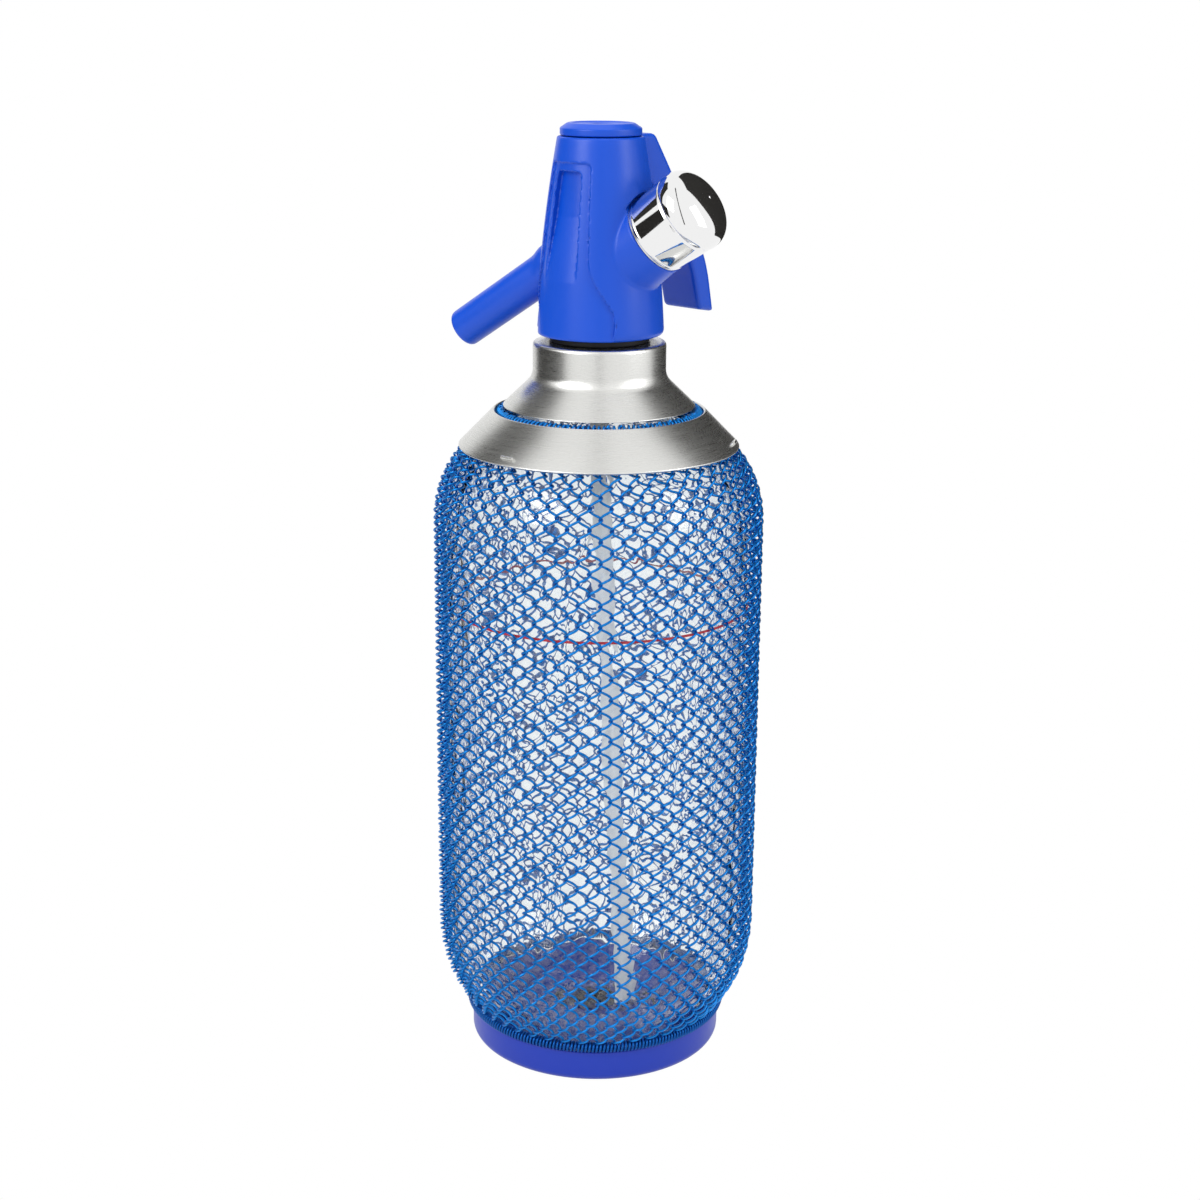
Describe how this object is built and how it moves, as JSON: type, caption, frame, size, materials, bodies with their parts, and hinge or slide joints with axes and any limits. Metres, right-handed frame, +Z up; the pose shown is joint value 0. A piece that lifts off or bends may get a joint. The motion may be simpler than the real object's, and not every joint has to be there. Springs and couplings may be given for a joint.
{
  "type": "soda siphon",
  "caption": "Glass soda siphon in a wire mesh sleeve, with steel shoulder parts and a plastic head with spout, squeeze lever and capped charging port.",
  "frame": {"origin": "centre of the base cup's underside, on the bottle's axis", "axes": "+Z up along the bottle's axis; -X is the way the spout points; the charging port points near +X, and the lever stands at 71 degrees from +X towards +Y"},
  "size_m": [0.1092, 0.1092, 0.3124],
  "materials": {
    "clear_glass": "clear blown glass with a slightly rippled wall",
    "base_plastic": "moulded ultramarine plastic, satin",
    "head_plastic": "moulded royal blue plastic, satin gloss",
    "blue_wire": "blue anodised wire",
    "brushed_steel": "spun and brushed stainless sheet",
    "steel_wire": "drawn steel wire",
    "brass": "turned brass",
    "white_nylon": "moulded natural nylon",
    "tube_plastic": "extruded milky plastic tube",
    "black_rubber": "moulded black rubber",
    "chrome": "polished chrome plate"
  },
  "bodies": {
    "bottle": {"glass_bottle": "clear_glass", "base_cup": "base_plastic", "garter_spring": "blue_wire", "mesh_sleeve": "blue_wire", "shoulder_band": "brushed_steel", "band_staples": "steel_wire", "neck_collar": "brushed_steel", "neck_ring": "brass", "split_ring": "white_nylon", "mouth_seal": "black_rubber"},
    "neck_gasket": {"neck_gasket": "black_rubber"},
    "head": {"head_body": "head_plastic", "head_lid": "head_plastic", "spout": "head_plastic", "spout_seal": "black_rubber", "valve_core": "white_nylon", "stem_seal": "black_rubber", "seal_nut": "brass", "lever_pin": "steel_wire", "dip_tube": "tube_plastic", "tube_nut": "white_nylon", "charging_nipple": "brass", "check_valve": "black_rubber", "piercing_pin": "steel_wire", "piercer_seal": "black_rubber", "valve_spring": "steel_wire"},
    "lever": {"lever": "head_plastic"},
    "valve": {"valve_stem": "steel_wire", "valve_washer": "black_rubber"},
    "port_washer": {"port_washer": "steel_wire"},
    "charging_cap": {"charging_cap": "chrome"}
  },
  "joints": [
    {"name": "head_turn", "type": "hinge", "parent": "bottle", "child": "neck_gasket", "pos_m": [0, 0, 0.2444], "axis": [0, 0, 1], "range_deg": [0, 1082]},
    {"name": "head_lift", "type": "slide", "parent": "neck_gasket", "child": "head", "axis": [0, 0, 1], "range_m": [0, 0.009]},
    {"name": "lever_hinge", "type": "hinge", "parent": "head", "child": "lever", "pos_m": [0.0028, 0.00813, 0.2995], "axis": [-0.9455, 0.3256, 0], "range_deg": [0, 15], "stiffness_Nm_per_rad": 0.3, "springref_deg": -4.58},
    {"name": "valve_lift", "type": "slide", "parent": "head", "child": "valve", "axis": [0, 0, 1], "range_m": [0, 0.00204], "deforming": ["valve_spring"]},
    {"name": "cap_turn", "type": "hinge", "parent": "head", "child": "port_washer", "pos_m": [0, 0, 0.264], "axis": [0.8206, -0.0862, 0.565], "range_deg": [0, 1442]},
    {"name": "cap_travel", "type": "slide", "parent": "port_washer", "child": "charging_cap", "axis": [0.8206, -0.0862, 0.565], "range_m": [0, 0.006]}
  ],
  "couplings": [
    {"joint": "head_turn", "follows": "head_lift", "rad_per_m": 2094.4},
    {"joint": "lever_hinge", "follows": "valve_lift", "rad_per_m": 128},
    {"joint": "cap_turn", "follows": "cap_travel", "rad_per_m": 4188.8}
  ]
}
